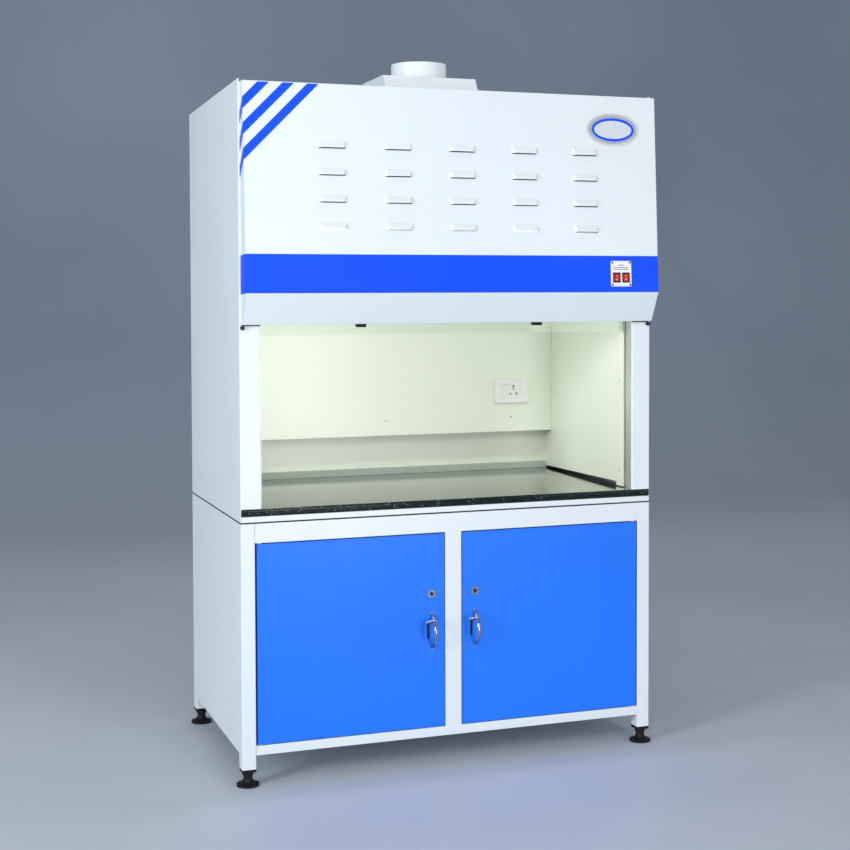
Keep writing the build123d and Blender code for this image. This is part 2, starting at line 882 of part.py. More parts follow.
def make_bar(near, far):
    """One bar at 45 degrees over the left corner, which runs on down the cheek."""
    edge = -fascia_half
    slant = Polygon((edge + near, fascia_top), (edge + far, fascia_top), (edge, fascia_top - far),
                    (edge - film, fascia_top - far), (edge - film, fascia_top - near),
                    (edge, fascia_top - near), align=None)
    on_face = extrude(Plane.XZ * slant, amount=2 * fascia_low_depth, dir=(0, -1, 0))
    on_face -= block(-half, half, -1, 1, 0, 2 * hood_front_top)
    face = film_on_face(edge - film, fascia_half, band_top, bar_top) & on_face
    run = fascia_low_depth
    y = fascia_y(fascia_top - near) - film
    low_y = fascia_y(fascia_top - far) - film
    strip = [(y, fascia_top - near), (low_y, fascia_top - far),
             (low_y + run, fascia_top - far - run), (y + run, fascia_top - near - run)]
    cheek = prism_x(strip, edge - film, edge) & block(-half, half, -half, 0, 0, 2 * hood_front_top)
    return face + cheek


band_low = fascia_low + film_edge_gap
band_top = fascia_low + band_height
bar_top = fascia_top - film_top_gap
band = film_wrap(band_low, band_top, True, True)
band -= [on_plane(on_fascia(x, bezel_z), neck_hole) for x in bezel_x]
bars = [make_bar(bar_first + index * bar_pitch, bar_first + index * bar_pitch + bar_width)
        for index in range(bar_count)]
parts["blue_film"] = group(band, *bars)


def make_bumper():
    """A rubber strip under the fascia's lip with a round stop at its outer end."""
    x = fascia_half + bumper_overhang - bumper_radius
    strip_top = fascia_lip - touch_gap
    stop = rod(bumper_radius, (x, -bumper_proud, fascia_lip - bumper_drop), (0, 1, 0), bumper_proud)
    return stop + block(post_inner, x, -bumper_strip, 0, strip_top - bumper_strip, strip_top)


parts["sash_bumpers"] = group(*both_sides(make_bumper()))


# Work chamber

def make_side_liner():
    """The lining of one side, stepped at its foot so that the slab can be wiped under it."""
    step_y = track_back + liner_step
    rear_y = rear_liner_y - upstand_thick
    return prism_x([(track_back, slab_top + liner_gap_front), (step_y, slab_top + liner_gap_front),
                    (step_y, slab_top + liner_gap_step), (rear_y, slab_top + liner_gap_rear),
                    (rear_y, slab_top + upstand_height), (rear_liner_y, slab_top + upstand_height),
                    (rear_liner_y, ceiling_z), (track_back, ceiling_z)],
                   liner_half, liner_half + liner_sheet)


rear_liner = block(-liner_half - liner_sheet, liner_half + liner_sheet, rear_liner_y,
                   rear_liner_y + liner_sheet, slab_top, ceiling_z)
parts["chamber_liners"] = group(*both_sides(make_side_liner()), rear_liner)

baffle_half = liner_half - touch_gap
parts["baffle"] = folded_x([(baffle_y, baffle_low), (baffle_y, baffle_knee),
                            (baffle_lip_y, baffle_lip_z)],
                           liner_sheet, Side.RIGHT, -baffle_half, baffle_half, baffle_knee_bend)

ceiling = block(-liner_half - liner_sheet, liner_half + liner_sheet, track_back + touch_gap,
                rear_liner_y + liner_sheet, ceiling_z, ceiling_z + liner_sheet)
ceiling -= rod(duct_bore, (0, duct_y, ceiling_z - 1), (0, 0, 1), liner_sheet + 2)
lamp_rear = lamp_front + lamp_depth
ceiling -= block(-lamp_width / 2, lamp_width / 2, lamp_front, lamp_rear, ceiling_z - 1,
                 ceiling_z + liner_sheet + 1)
parts["chamber_ceiling"] = ceiling
parts["lamp_lens"] = block(-lamp_width / 2 + touch_gap, lamp_width / 2 - touch_gap,
                           lamp_front + touch_gap, lamp_rear - touch_gap, ceiling_z,
                           ceiling_z + lens_thick)
lamp_floor = ceiling_z + liner_sheet
lamp_half = lamp_width / 2 + lamp_margin
lamp_box = block(-lamp_half, lamp_half, lamp_front - lamp_margin, lamp_rear + lamp_margin,
                 lamp_floor, lamp_floor + lamp_height)
lamp_box -= block(-lamp_half + sheet, lamp_half - sheet, lamp_front - lamp_margin + sheet,
                  lamp_rear + lamp_margin - sheet, lamp_floor - 1, lamp_floor + lamp_height - sheet)
parts["lamp_housing"] = lamp_box


# Socket outlet on the baffle, with its own rocker

def upright_bore(u, v, radius):
    """A round hole in the socket's face, down to its floor."""
    base = (Align.CENTER, Align.CENTER, Align.MIN)
    return Pos(u, v, socket_floor) * Cylinder(radius, socket_thick, align=base)


def make_socket():
    """A wall socket: bevelled plate, sunk module, pin holes and the pocket of its own switch."""
    socket = upright_box(socket_width, socket_height, 0, socket_thick)
    socket = fillet(socket.edges().filter_by(Axis.Z), socket_corner)
    socket = chamfer(socket.faces().sort_by(Axis.Z)[-1].edges(), socket_bevel)
    socket -= upright_box(socket_recess_width, socket_recess_height, socket_top, socket_thick + 1)
    socket -= Pos(key_u, 0, 0) * upright_box(key_wide, key_high, key_floor, socket_thick)
    socket -= Pos(key_u, 0, key_axis) * trunnion_hole(key_wide - 2 * switch_gap)
    socket -= upright_bore(pins_u, earth_v, earth_radius)
    socket -= upright_bore(pins_u, small_v, small_radius)
    for turn in (-1, 1):
        slot = extrude(SlotOverall(pin_slot, pin_slot_width), amount=socket_thick)
        socket -= (Pos(pins_u + turn * pin_spread, pin_v, socket_floor)
                   * Rot(0, 0, 90 + turn * pin_turn) * slot)
    return socket


socket_plane = Plane(origin=(socket_x, baffle_y, socket_z), x_dir=(1, 0, 0), z_dir=(0, -1, 0))
socket_top = socket_thick - socket_recess
key_axis = socket_top - key_sink
key_plane = Plane(origin=(socket_x + key_u, baffle_y - key_axis, socket_z), x_dir=(1, 0, 0),
                  z_dir=(0, -1, 0))
parts["socket_outlet"] = on_plane(socket_plane, make_socket())
parts["socket_rocker"] = make_rocker(key_plane, key_wide - 2 * switch_gap,
                                     key_high / 2 - switch_end_gap, key_deep, key_proud, key_tip)


# Round screw heads on the switch plate, the baffle and the liners

def make_plate_screws():
    u = plate_width / 2 - screw_inset
    v = plate_height / 2 - screw_inset
    head = extrude(Circle(screw_radius), amount=screw_head)
    return [on_plane(plate_plane.offset(plate_top), Pos(su * u, sv * v, 0) * head)
            for su in (-1, 1) for sv in (-1, 1)]


def make_fixings():
    """Screw heads on the baffle's face and on both side liners."""
    heads = [rod(fixing_radius, (fixing_offset + step * fixing_pitch, baffle_y - fixing_head, z),
                 (0, 1, 0), fixing_head) for step in (-1, 0, 1) for z in baffle_fixing_z]
    places = [(fixing_front, z) for z in fixing_front_z]
    places += [(baffle_y - fixing_rear, z) for z in fixing_rear_z]
    for y, z in places:
        heads += both_sides(rod(fixing_radius, (liner_half - fixing_head, y, z), (1, 0, 0),
                                fixing_head))
    return heads


parts["plate_screws"] = group(*make_plate_screws())
parts["screws"] = group(*make_fixings())


# Sash tracks and the counterweight guides

def make_track():
    """A channel for the sash's edge, with a flat leg that covers the post's return."""
    outer = block(post_inner, post_inner + track_width, track_front, track_back, slab_top + touch_gap,
                  track_top)
    inner = block(post_inner - 1, post_inner + track_width - track_wall, track_front + track_wall,
                  track_back - track_wall, slab_top - 1, track_top + 1)
    cover = block(post_inner - track_cover, post_inner, bend + touch_gap, track_front + track_wall,
                  slab_top + touch_gap, track_cover_top)
    return outer - inner + cover


skin_in = half - sheet
weight_front = glass_y - weight_depth / 2
weight_back = glass_y + weight_depth / 2


def make_guides():
    """Two angle strips on the side skin, one on each side of the weight."""
    x0 = weight_x - weight_thick / 2 + guide_set
    low = slab_top + guide_foot_gap
    high = track_top
    y1 = weight_front - weight_gap
    y2 = weight_back + weight_gap
    front = block(x0, skin_in, y1 - guide_wall, y1, low, high)
    front += block(skin_in - guide_wall, skin_in, y1 - guide_wall - guide_foot, y1, low, high)
    rear = block(x0, skin_in, y2, y2 + guide_wall, low, high)
    rear += block(skin_in - guide_wall, skin_in, y2, y2 + guide_wall + guide_foot, low, high)
    return [front, rear]


guides = make_guides()
parts["sash_tracks"] = group(*both_sides(make_track()), *both_sides(guides[0]),
                             *both_sides(guides[1]))

weight = block(weight_x - weight_thick / 2, weight_outer, weight_front, weight_back,
               weight_low, weight_low + weight_height)
right_weight, left_weight = both_sides(weight)
parts["counterweight_right"] = right_weight
parts["counterweight_left"] = left_weight


# Pulleys on the head rail

def make_pulley():
    groove = cable_turn - cable_radius
    lip = groove + pulley_lip
    side = pulley_width / 2
    bore = axle_radius + axle_clearance
    rim = side - pulley_rim
    outline = Polygon((bore, -side), (lip, -side), (lip, -rim), (groove, -cable_radius),
                      (groove, cable_radius), (lip, rim), (lip, side), (bore, side), align=None)
    wheel = revolve(Plane.XY * outline, axis=Axis.Y)
    return Pos(pulley_x, glass_y, pulley_z) * wheel


def make_bracket():
    reach = pulley_width / 2 + bracket_gap
    start = glass_y - reach - bracket_plate
    low = pulley_z - bracket_width / 2
    bracket = rod(axle_radius, (pulley_x, start, pulley_z), (0, 1, 0), 2 * (reach + bracket_plate))
    for y0 in (start, glass_y + reach):
        bracket += block(pulley_x - bracket_width / 2, pulley_x + bracket_width / 2, y0,
                         y0 + bracket_plate, low, head_rail_low)
    return bracket


right_pulley, left_pulley = both_sides(make_pulley())
parts["pulley_right"] = right_pulley
parts["pulley_left"] = left_pulley
head_front = post_return + touch_gap
head_rail = tube(-shell_half, shell_half, head_front, head_front + rail, head_rail_low,
                 head_rail_high, rail_wall, "x")
for bracket in both_sides(make_bracket()):
    head_rail += bracket
parts["head_rail"] = head_rail


# Sash: toughened glass in two edge stiles, with two pulls

glass_front = glass_y - glass_thick / 2
glass_back = glass_y + glass_thick / 2
glass_high = glass_low + glass_height
parts["sash_glass"] = block(-glass_half, glass_half, glass_front, glass_back, glass_low, glass_high)


def make_stile():
    x0 = glass_half + glass_grip - stile_width
    x1 = glass_half + glass_grip
    y0 = glass_y - stile_thick / 2
    y1 = glass_y + stile_thick / 2
    stile = block(x0, x1, y0, y1, glass_low - stile_hook, glass_high)
    stile -= block(x0 - 1, glass_half, glass_front, glass_back, glass_low, glass_high + 1)
    runner_x = post_inner + track_width - track_wall - touch_gap
    runner_y = track_depth / 2 - track_wall - touch_gap
    for low in (glass_low, glass_high - glide_height):
        stile += block(x1, runner_x, glass_y - runner_y, glass_y + runner_y, low, low + glide_height)
    return stile


parts["sash_stiles"] = group(*both_sides(make_stile()))

pull_front = glass_front - pull_reach
pull_outline = [(glass_front, pull_z), (pull_front, pull_z), (pull_front, pull_z + pull_lip),
                (pull_front + pull_plate, pull_z + pull_lip),
                (pull_front + pull_plate, pull_z + pull_plate),
                (glass_front - pull_back, pull_z + pull_plate),
                (glass_front - pull_back, pull_z + pull_height),
                (glass_front, pull_z + pull_height)]
pull = prism_x(pull_outline, pull_x - pull_width / 2, pull_x + pull_width / 2)
parts["sash_pulls"] = group(*both_sides(pull))


# Exhaust fan in the duct above the chamber

casing_low = ceiling_z + liner_sheet
casing_high = collar_low - touch_gap
motor_top = fan_motor_low + fan_motor_height
shaft_low = motor_top - fan_shaft_bore


def make_fan_casing():
    """A flanged duct with the motor held in its middle on flat arms."""
    casing = ring(collar_radius, duct_bore, 0, duct_y, casing_low, casing_high - casing_low)
    casing += ring(duct_radius + fan_flange, duct_bore, 0, duct_y, casing_low, fan_flange_thick)
    motor = rod(fan_motor, (0, duct_y, fan_motor_low), (0, 0, 1), fan_motor_height)
    arm_in = fan_motor - fan_arm_lap
    arm_out = (duct_bore + collar_radius) / 2
    arm = Pos((arm_in + arm_out) / 2, 0, 0) * Box(arm_out - arm_in, fan_arm_thick, fan_arm_height)
    for index in range(fan_arms):
        motor += (Pos(0, duct_y, fan_motor_low + fan_motor_height / 2)
                  * Rot(0, 0, 90 + 360 / fan_arms * index) * arm)
    return casing + motor - rod(fan_shaft + axle_clearance, (0, duct_y, shaft_low), (0, 0, 1),
                                fan_shaft_bore + 1)


def make_impeller():
    hub_low = motor_top + fan_hub_gap
    wheel = rod(fan_hub, (0, 0, hub_low), (0, 0, 1), fan_hub_height)
    wheel += rod(fan_shaft, (0, 0, shaft_low + fan_shaft_end_gap), (0, 0, 1), fan_shaft_bore
                 + fan_hub_gap)
    length = fan_blade_tip - fan_hub + fan_blade_root
    blade = Box(length, fan_blade_chord, fan_blade_thick)
    place = Pos(fan_blade_tip - length / 2, 0, hub_low + fan_hub_height / 2)
    for index in range(fan_blades):
        wheel += Rot(0, 0, 360 / fan_blades * index) * place * Rot(fan_pitch, 0, 0) * blade
    return Pos(0, duct_y, 0) * wheel


parts["fan_casing"] = make_fan_casing()
parts["fan_impeller"] = make_impeller()


# The origin goes to the floor under the middle of the outline

front = min(shape.bounding_box().min.Y for shape in parts.values())
rear = max(shape.bounding_box().max.Y for shape in parts.values())
shift = -(front + rear) / 2
for name, shape in parts.items():
    export_step(Pos(0, shift, 0) * shape, "parts/" + name + ".step")
print("nodes", len(parts), "shift", round(shift, 4))
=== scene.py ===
import json
import math

import bpy
from mathutils import Matrix, Vector


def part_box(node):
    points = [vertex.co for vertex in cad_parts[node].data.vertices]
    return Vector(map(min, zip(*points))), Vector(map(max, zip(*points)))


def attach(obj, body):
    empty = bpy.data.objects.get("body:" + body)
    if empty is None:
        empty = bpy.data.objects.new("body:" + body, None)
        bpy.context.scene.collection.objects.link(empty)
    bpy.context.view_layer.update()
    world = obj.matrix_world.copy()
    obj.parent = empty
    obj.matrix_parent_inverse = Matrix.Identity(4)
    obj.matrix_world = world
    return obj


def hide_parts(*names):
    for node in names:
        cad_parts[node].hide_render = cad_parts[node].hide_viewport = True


# The looks of the fume exhaust hood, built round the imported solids. Metres, in the same frame.

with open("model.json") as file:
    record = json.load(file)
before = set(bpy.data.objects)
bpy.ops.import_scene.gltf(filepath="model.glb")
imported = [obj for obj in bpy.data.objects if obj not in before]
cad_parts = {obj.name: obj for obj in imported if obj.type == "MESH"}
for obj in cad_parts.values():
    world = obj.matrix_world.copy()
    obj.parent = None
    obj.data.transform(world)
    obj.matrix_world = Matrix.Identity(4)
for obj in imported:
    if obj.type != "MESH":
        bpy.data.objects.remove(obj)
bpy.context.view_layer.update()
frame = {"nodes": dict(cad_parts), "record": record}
nodes = frame["nodes"]
MM = 0.001


# Camera at the photograph's viewing angle, solved from the corners and edges of the hood

YAW, PITCH, ROLL = 0.341482, 0.0351716, 0.0029173
CAMERA_X, CAMERA_HEIGHT, LEGS_TO_CAMERA = -1.46219, 1.307136, 3.861124
FOCAL_PX, CENTRE_X, CENTRE_Y, IMAGE = 1506.03, 423.592, 344.531, 850
SENSOR_WIDTH = 36
VIEW_REACH = 60


def make_camera():
    forward = Vector((math.sin(YAW), math.cos(YAW), 0))
    right = Vector((math.cos(YAW), -math.sin(YAW), 0))
    down = Vector((0, 0, -1))
    aim = forward * math.cos(PITCH) + down * math.sin(PITCH)
    fall = down * math.cos(PITCH) - forward * math.sin(PITCH)
    side = right * math.cos(ROLL) + fall * math.sin(ROLL)
    drop = fall * math.cos(ROLL) - right * math.sin(ROLL)
    turn = Matrix((side, -drop, -aim)).transposed().to_4x4()
    at = (CAMERA_X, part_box("legs")[0].y - LEGS_TO_CAMERA, CAMERA_HEIGHT)
    lens = bpy.data.cameras.new("camera")
    lens.sensor_width = SENSOR_WIDTH
    lens.lens = FOCAL_PX / IMAGE * SENSOR_WIDTH
    lens.shift_x = (IMAGE / 2 - CENTRE_X) / IMAGE
    lens.shift_y = (CENTRE_Y - IMAGE / 2) / IMAGE
    lens.clip_end = VIEW_REACH
    camera = bpy.data.objects.new("camera", lens)
    camera.matrix_world = Matrix.Translation(at) @ turn
    bpy.context.scene.collection.objects.link(camera)
    bpy.context.scene.camera = camera


# Small helpers for node materials: most values of a noise lie between the two named ones

NOISE_LOW, NOISE_HIGH = 0.3, 0.7
COLOUR_SOCKETS = (6, 7, 2)
VALUE_SOCKETS = (2, 3, 0)


def new_material(name):
    material = bpy.data.materials.new(name)
    material.use_nodes = True
    tree = material.node_tree
    return material, tree, tree.nodes["Principled BSDF"]


def feed(tree, socket, value):
    """Gives a socket a number, a colour or another node's output."""
    if isinstance(value, tuple):
        socket.default_value = (*value, 1)
    elif isinstance(value, (int, float)):
        socket.default_value = value
    else:
        tree.links.new(value, socket)


def place(tree, stretch=(1, 1, 1)):
    """The piece's own coordinates in metres, stretched along the axes."""
    coords = tree.nodes.new("ShaderNodeTexCoord")
    mapping = tree.nodes.new("ShaderNodeMapping")
    mapping.inputs["Scale"].default_value = stretch
    tree.links.new(coords.outputs["Object"], mapping.inputs["Vector"])
    return mapping.outputs["Vector"]


def along(tree, axis):
    """One of the piece's own coordinates."""
    split = tree.nodes.new("ShaderNodeSeparateXYZ")
    tree.links.new(place(tree), split.inputs["Vector"])
    return split.outputs[axis]


def noise(tree, scale, detail=2.0, stretch=(1, 1, 1), rough=0.5):
    node = tree.nodes.new("ShaderNodeTexNoise")
    node.inputs["Scale"].default_value = scale
    node.inputs["Detail"].default_value = detail
    node.inputs["Roughness"].default_value = rough
    tree.links.new(place(tree, stretch), node.inputs["Vector"])
    return node.outputs["Fac"]


def cells(tree, scale):
    node = tree.nodes.new("ShaderNodeTexVoronoi")
    node.inputs["Scale"].default_value = scale
    tree.links.new(place(tree), node.inputs["Vector"])
    return node.outputs["Distance"]


def ramp(tree, value, stops):
    """Colours or grey levels at points from 0 to 1."""
    node = tree.nodes.new("ShaderNodeValToRGB")
    bar = node.color_ramp
    while len(bar.elements) < len(stops):
        bar.elements.new(0.5)
    for element, (at, colour) in zip(bar.elements, stops):
        element.position = at
        element.color = (*colour, 1) if isinstance(colour, tuple) else (colour, colour, colour, 1)
    tree.links.new(value, node.inputs["Fac"])
    return node.outputs["Color"]


def two_tones(tree, value, low, high):
    """Two colours that pass into each other along a noise."""
    return ramp(tree, value, [(NOISE_LOW, low), (NOISE_HIGH, high)])


def spread(tree, value, low, high, start=NOISE_LOW, end=NOISE_HIGH):
    """A value from low to high, as another one goes from its start to its end."""
    node = tree.nodes.new("ShaderNodeMapRange")
    node.inputs["From Min"].default_value = start
    node.inputs["From Max"].default_value = end
    node.inputs["To Min"].default_value = low
    node.inputs["To Max"].default_value = high
    tree.links.new(value, node.inputs["Value"])
    return node.outputs["Result"]


def calculate(tree, operation, first, second):
    node = tree.nodes.new("ShaderNodeMath")
    node.operation = operation
    feed(tree, node.inputs[0], first)
    feed(tree, node.inputs[1], second)
    return node.outputs[0]


def blend(tree, share, first, second, colour=True):
    """The first colour or value where the share is 0, the second where it is 1."""
    first_at, second_at, result_at = COLOUR_SOCKETS if colour else VALUE_SOCKETS
    node = tree.nodes.new("ShaderNodeMix")
    node.data_type = "RGBA" if colour else "FLOAT"
    feed(tree, node.inputs[0], share)
    feed(tree, node.inputs[first_at], first)
    feed(tree, node.inputs[second_at], second)
    return node.outputs[result_at]


def above(tree, height):
    """1 above a height of the piece, 0 under it."""
    return calculate(tree, "GREATER_THAN", along(tree, "Z"), height)


def bump(tree, shader, height, strength, distance, edge=0):
    """Fine relief, over edges that are rounded by a small radius."""
    node = tree.nodes.new("ShaderNodeBump")
    if edge:
        rounding = tree.nodes.new("ShaderNodeBevel")
        rounding.samples = 4
        rounding.inputs["Radius"].default_value = edge
        tree.links.new(rounding.outputs["Normal"], node.inputs["Normal"])
    node.inputs["Strength"].default_value = strength
    node.inputs["Distance"].default_value = distance
    tree.links.new(height, node.inputs["Height"])
    tree.links.new(node.outputs["Normal"], shader.inputs["Normal"])


def linear(r, g, b):
    """A colour as it shows on the screen, 0 to 255, as Blender's linear light."""
    def one(v):
        v = v / 255
        return v / 12.92 if v <= 0.04045 else ((v + 0.055) / 1.055) ** 2.4
    return one(r), one(g), one(b)


def toned(tree, shader, colour, darker, scale):
    """The base colour with a slow drift of tone."""
    dark = tuple(c * darker for c in colour)
    drift = two_tones(tree, noise(tree, scale, detail=3), dark, colour)
    tree.links.new(drift, shader.inputs["Base Color"])


# Kinds of finish

def paint(name, colour, rough, peel=0.06, darker=0.96, edge=0.9 * MM, shine=0.5, uneven=0.055):
    """Stoved powder paint: a slow drift of tone, fine orange peel and uneven gloss."""
    material, tree, shader = new_material(name)
    shader.inputs["Specular IOR Level"].default_value = shine
    toned(tree, shader, colour, darker, scale=2.2)
    gloss = spread(tree, noise(tree, scale=30), rough - uneven, rough + uneven)
    tree.links.new(gloss, shader.inputs["Roughness"])
    bump(tree, shader, noise(tree, scale=420), peel, 0.6 * MM, edge)
    return material


def plastic(name, colour, rough, grain=0.15, darker=0.85, shine=0.5):
    """Moulded plastic or rubber with a fine spark-eroded grain."""
    material, tree, shader = new_material(name)
    shader.inputs["Specular IOR Level"].default_value = shine
    toned(tree, shader, colour, darker, scale=25)
    gloss = spread(tree, noise(tree, scale=120), rough - 0.06, rough + 0.06)
    tree.links.new(gloss, shader.inputs["Roughness"])
    bump(tree, shader, noise(tree, scale=1400), grain, 0.2 * MM, edge=0.6 * MM)
    return material


def metal(name, colour, rough, stretch=(1, 1, 1)):
    """Metal with fine marks, which a stretch draws out along one axis."""
    material, tree, shader = new_material(name)
    shader.inputs["Metallic"].default_value = 1
    toned(tree, shader, colour, darker=0.88, scale=8)
    marks = noise(tree, scale=600, detail=3, stretch=stretch)
    tree.links.new(spread(tree, marks, rough * 0.6, rough * 1.5), shader.inputs["Roughness"])
    bump(tree, shader, marks, 0.05, 0.2 * MM, edge=0.3 * MM)
    return material


UPSTAND_HEIGHT = 20 * MM
TOP_FACE_BAND = 0.5 * MM


def make_granite():
    """Black granite: a polished slab with grey-green crystals and flecks, and an upstand in light
    grey-green, a painted reflection of the lit wall foot in the polished slab.
    """
    material, tree, shader = new_material("granite_polished")
    slab_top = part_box("worktop")[1].z - UPSTAND_HEIGHT
    upstand_painted_reflection = above(tree, slab_top + TOP_FACE_BAND)
    waxed = calculate(tree, "SUBTRACT", above(tree, slab_top - TOP_FACE_BAND), upstand_painted_reflection)
    tree.links.new(waxed, shader.inputs["Coat Weight"])
    shader.inputs["Coat Roughness"].default_value = 0.12
    shader.inputs["Coat IOR"].default_value = 1.62
    shader.inputs["Specular IOR Level"].default_value = 0.25
    grain = noise(tree, scale=260, detail=4, rough=0.7)
    crystals = ramp(tree, grain, [(0.42, (0.001, 0.006, 0.007)), (0.6, (0.010, 0.022, 0.022)),
                                  (0.75, (0.05, 0.075, 0.072))])
    # Painted reflection: the upstand's light grey-green stands in for the lit wall foot mirrored in
    # the polished slab, not for a honed finish.
    painted_wall_reflection = ramp(tree, grain, [(0.35, linear(170, 184, 173)), (0.65, linear(203, 215, 205))])
    spots = ramp(tree, cells(tree, scale=190), [(0.0, 1.0), (0.12, 1.0), (0.19, 0.0)])
    patches = ramp(tree, noise(tree, scale=70), [(0.46, 0.0), (0.55, 1.0)])
    flecks = calculate(tree, "MULTIPLY", spots, patches)
    polished = blend(tree, flecks, crystals, (0.62, 0.66, 0.62))
    tree.links.new(blend(tree, upstand_painted_reflection, polished, painted_wall_reflection), shader.inputs["Base Color"])
    polish = spread(tree, noise(tree, scale=200, detail=3), 0.07, 0.16)
    tree.links.new(blend(tree, upstand_painted_reflection, polish, 0.5, colour=False), shader.inputs["Roughness"])
    bump(tree, shader, noise(tree, scale=300, detail=3), 0.03, 0.3 * MM)
    return material


KEY_HEAD = 8 * MM


def make_key_look():
    """Bright ring and key head, a dark blade below them."""
    material, tree, shader = new_material("key_metal")
    shader.inputs["Metallic"].default_value = 1
    marks = noise(tree, scale=700, detail=3)
    bright = two_tones(tree, marks, (0.72, 0.73, 0.75), (0.86, 0.87, 0.89))
    dark = two_tones(tree, marks, (0.035, 0.034, 0.036), (0.10, 0.095, 0.09))
    head = above(tree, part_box("keys_left")[1].z - KEY_HEAD)
    tree.links.new(blend(tree, head, dark, bright), shader.inputs["Base Color"])
    tree.links.new(spread(tree, marks, 0.2, 0.4), shader.inputs["Roughness"])
    bump(tree, shader, marks, 0.05, 0.2 * MM, edge=0.3 * MM)
    return material


def make_glass():
    """Clear toughened glass with faint smears and a slight green tint."""
    material, tree, shader = new_material("sash_float_glass")
    tint = two_tones(tree, noise(tree, scale=3, detail=3), (0.86, 0.94, 0.91), (0.93, 0.98, 0.96))
    tree.links.new(tint, shader.inputs["Base Color"])
    smears = spread(tree, noise(tree, scale=9, detail=4), 0.01, 0.05)
    tree.links.new(smears, shader.inputs["Roughness"])
    shader.inputs["Transmission Weight"].default_value = 1
    shader.inputs["IOR"].default_value = 1.5
    return material


def make_lens():
    """The lamp's opal cover, lit from behind."""
    material, tree, shader = new_material("lamp_opal")
    tone = two_tones(tree, noise(tree, scale=40), (0.86, 0.90, 0.82), (0.93, 0.96, 0.88))
    tree.links.new(tone, shader.inputs["Base Color"])
    tree.links.new(tone, shader.inputs["Emission Color"])
    shader.inputs["Emission Strength"].default_value = 1.6
    shader.inputs["Roughness"].default_value = 0.4
    bump(tree, shader, noise(tree, scale=700, detail=1), 0.1, 0.4 * MM)
    return material


# Finishes of the record's material slots, and of the nodes that differ from their slot

WHITE = linear(231, 239, 244)
BLUE = linear(31, 123, 255)
FILM = linear(10, 82, 255)
CREAM = linear(239, 245, 228)
OFF_WHITE = linear(244, 244, 242)
SILVER = linear(214, 219, 230)
GREY = linear(166, 176, 190)
INK = linear(120, 140, 176)
DRAWN_UPWARD = (6, 6, 0.05)

looks = {
    "white_paint": paint("white_powder_paint", WHITE, rough=0.33, peel=0.02),
    "blue_paint": paint("blue_powder_paint", BLUE, rough=0.36, darker=0.93, shine=0.25),
    "blue_film": paint("blue_vinyl_film", FILM, rough=0.33, peel=0.03, darker=0.95, edge=0,
                       shine=0.12),
    "black_rubber": plastic("black_rubber", (0.012, 0.012, 0.014), rough=0.6),
    "black_plastic": plastic("black_moulding", (0.010, 0.010, 0.011), rough=0.42, shine=0.2),
    "granite": make_granite(),
    "liner_panel": paint("cream_laminate", CREAM, rough=0.3, peel=0.003, darker=0.985, shine=0.8,
                         uneven=0.008),
    "bright_metal": metal("bright_chrome", (0.42, 0.43, 0.45), rough=0.1),
    "steel": metal("plated_steel", (0.52, 0.53, 0.55), rough=0.32),
    "aluminium_track": metal("anodised_aluminium", (0.70, 0.71, 0.73), 0.34, DRAWN_UPWARD),
    "sash_glass": make_glass(),
    "white_plastic": plastic("white_moulding", OFF_WHITE, rough=0.28, grain=0.04, darker=0.97),
    "lamp_lens": make_lens(),
    "red_plastic": plastic("red_translucent", (0.80, 0.016, 0.014), rough=0.2, grain=0.03,
                           shine=0.25),
}

key_look = make_key_look()
# Painted shade: the lock plugs get a dark metal that stands in for the shade in each plug's recess
# inside its chrome barrel
lock_plug_shade_look = metal("lock_plug_painted_shade", (0.05, 0.05, 0.052), rough=0.25)
own_looks = {
    "keys_left": key_look,
    "keys_right": key_look,
    "lock_cam_left": lock_plug_shade_look,
    "lock_cam_right": lock_plug_shade_look,
    "sash_tracks": metal("mill_aluminium", (0.88, 0.88, 0.87), 0.42, DRAWN_UPWARD),
}


# Mesh helpers for the added pieces

CABINET = "cabinet_body"
FORWARD = Vector((0, -1, 0))
SMOOTH_ANGLE = math.radians(35)
ROUND_NODES = ("handle_left", "handle_right", "keys_left", "keys_right", "lock_barrel_left",
               "lock_barrel_right", "foot_front_left", "foot_front_right", "foot_rear_left",
               "foot_rear_right", "duct_spigot", "fan_casing", "pulley_left", "pulley_right",
               "worktop")


def smooth(piece):
    for face in piece.data.polygons:
        face.use_smooth = True
    piece.data.set_sharp_from_angle(angle=SMOOTH_ANGLE)


def finish_nodes():
    for entry in frame["record"]["subparts"]:
        node = nodes[entry["node"]]
        node.data.materials.clear()
        node.data.materials.append(own_looks.get(entry["node"], looks[entry["material_slot"]]))
    for name in ROUND_NODES:
        smooth(nodes[name])


def new_piece(name, mesh_data, look, body):
    """A mesh that rides on a body and takes the finish it is given."""
    verts, faces = mesh_data
    mesh = bpy.data.meshes.new(name)
    mesh.from_pydata([tuple(v) for v in verts], [], faces)
    mesh.update()
    piece = bpy.data.objects.new(name, mesh)
    bpy.context.scene.collection.objects.link(piece)
    mesh.materials.append(look)
    smooth(piece)
    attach(piece, body)
    return piece


def islands(name):
    """The mesh of a node and its separate solids, each as a list of faces."""
    mesh = nodes[name].data
    owner = list(range(len(mesh.vertices)))

    def root(i):
        while owner[i] != i:
            owner[i] = owner[owner[i]]
            i = owner[i]
        return i

    places = {}
    for vert in mesh.vertices:
        key = tuple(round(c, 6) for c in vert.co)
        owner[root(vert.index)] = root(places.setdefault(key, vert.index))
    for face in mesh.polygons:
        first = root(face.vertices[0])
        for index in face.vertices:
            owner[root(index)] = first
    found = {}
    for face in mesh.polygons:
        found.setdefault(root(face.vertices[0]), []).append(face)
    return mesh, list(found.values())


